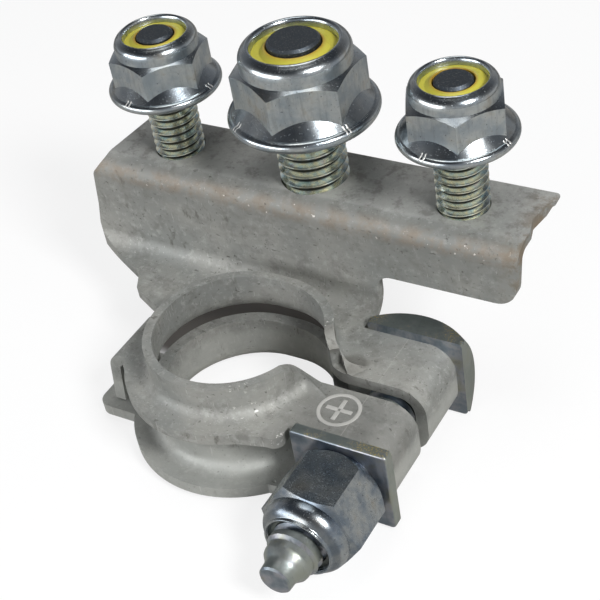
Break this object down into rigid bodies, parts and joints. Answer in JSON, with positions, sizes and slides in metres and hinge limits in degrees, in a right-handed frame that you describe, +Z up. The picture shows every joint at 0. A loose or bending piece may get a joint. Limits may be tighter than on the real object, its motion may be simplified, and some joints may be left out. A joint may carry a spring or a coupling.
{
  "type": "battery terminal clamp",
  "caption": "Pressed battery terminal clamp: a split double ring with a pinch bolt, folded from one sheet with a raised bracket that carries threaded cable studs and locking flange nuts.",
  "frame": {"origin": "on the axis of the post bore, at the height of the pinch bolt's axis, midway between the outer faces of the two leaves", "axes": "+X along the bracket towards the pinch bolt, +Y from the post back to the bracket, +Z up the battery post, from the lower leaf to the studs"},
  "size_m": [0.0575, 0.0506, 0.04],
  "materials": {
    "tinned_sheet": "dull tin plating on pressed brass sheet, finely scratched and stained",
    "bright_zinc": "bright bluish zinc plating",
    "zinc_plate": "iridescent zinc plating on cut steel plate",
    "yellow_zinc": "greenish yellow iridescent zinc plating on rolled thread",
    "yellow_nylon": "yellow nylon, satin",
    "grey_nylon": "grey green nylon, satin"
  },
  "bodies": {
    "clamp": {"clamp_body": "tinned_sheet", "stud_left": "yellow_zinc", "stud_middle": "yellow_zinc", "stud_right": "yellow_zinc", "square_washer": "zinc_plate", "pinch_bolt": "zinc_plate"},
    "left_nut_travel_body": {"locking_ring_left": "yellow_nylon"},
    "left_nut_turn_body": {"nut_left": "bright_zinc"},
    "middle_nut_travel_body": {"locking_ring_middle": "yellow_nylon"},
    "middle_nut_turn_body": {"nut_middle": "bright_zinc"},
    "right_nut_travel_body": {"locking_ring_right": "yellow_nylon"},
    "right_nut_turn_body": {"nut_right": "bright_zinc"},
    "pinch_nut_travel_body": {"pinch_locking_ring": "grey_nylon"},
    "pinch_nut_turn_body": {"pinch_nut": "bright_zinc"}
  },
  "joints": [
    {"name": "left_nut_travel", "type": "slide", "parent": "clamp", "child": "left_nut_travel_body", "axis": [0, 0, 1], "range_m": [-0.00828, 0.0048]},
    {"name": "left_nut_turn", "type": "hinge", "parent": "left_nut_travel_body", "child": "left_nut_turn_body", "pos_m": [-0.01655, 0.01825, 0.02557], "axis": [0, 0, 1], "range_deg": [-2980.8, 1728]},
    {"name": "middle_nut_travel", "type": "slide", "parent": "clamp", "child": "middle_nut_travel_body", "axis": [0, 0, 1], "range_m": [-0.00808, 0.0064]},
    {"name": "middle_nut_turn", "type": "hinge", "parent": "middle_nut_travel_body", "child": "middle_nut_turn_body", "pos_m": [0.002, 0.01825, 0.02537], "axis": [0, 0, 1], "range_deg": [-2327.04, 1843.2]},
    {"name": "right_nut_travel", "type": "slide", "parent": "clamp", "child": "right_nut_travel_body", "axis": [0, 0, 1], "range_m": [-0.00878, 0.0048]},
    {"name": "right_nut_turn", "type": "hinge", "parent": "right_nut_travel_body", "child": "right_nut_turn_body", "pos_m": [0.02055, 0.01825, 0.02607], "axis": [0, 0, 1], "range_deg": [-3160.8, 1728]},
    {"name": "pinch_nut_travel", "type": "slide", "parent": "clamp", "child": "pinch_nut_travel_body", "axis": [0, -1, 0], "range_m": [0, 0.01045]},
    {"name": "pinch_nut_turn", "type": "hinge", "parent": "pinch_nut_travel_body", "child": "pinch_nut_turn_body", "pos_m": [0.0178, -0.00935, 0], "axis": [0, -1, 0], "range_deg": [0, 3762]}
  ],
  "couplings": [
    {"joint": "left_nut_travel", "follows": "left_nut_turn", "m_per_rad": 0.00015915},
    {"joint": "middle_nut_travel", "follows": "middle_nut_turn", "m_per_rad": 0.00019894},
    {"joint": "right_nut_travel", "follows": "right_nut_turn", "m_per_rad": 0.00015915},
    {"joint": "pinch_nut_travel", "follows": "pinch_nut_turn", "m_per_rad": 0.00015915}
  ]
}
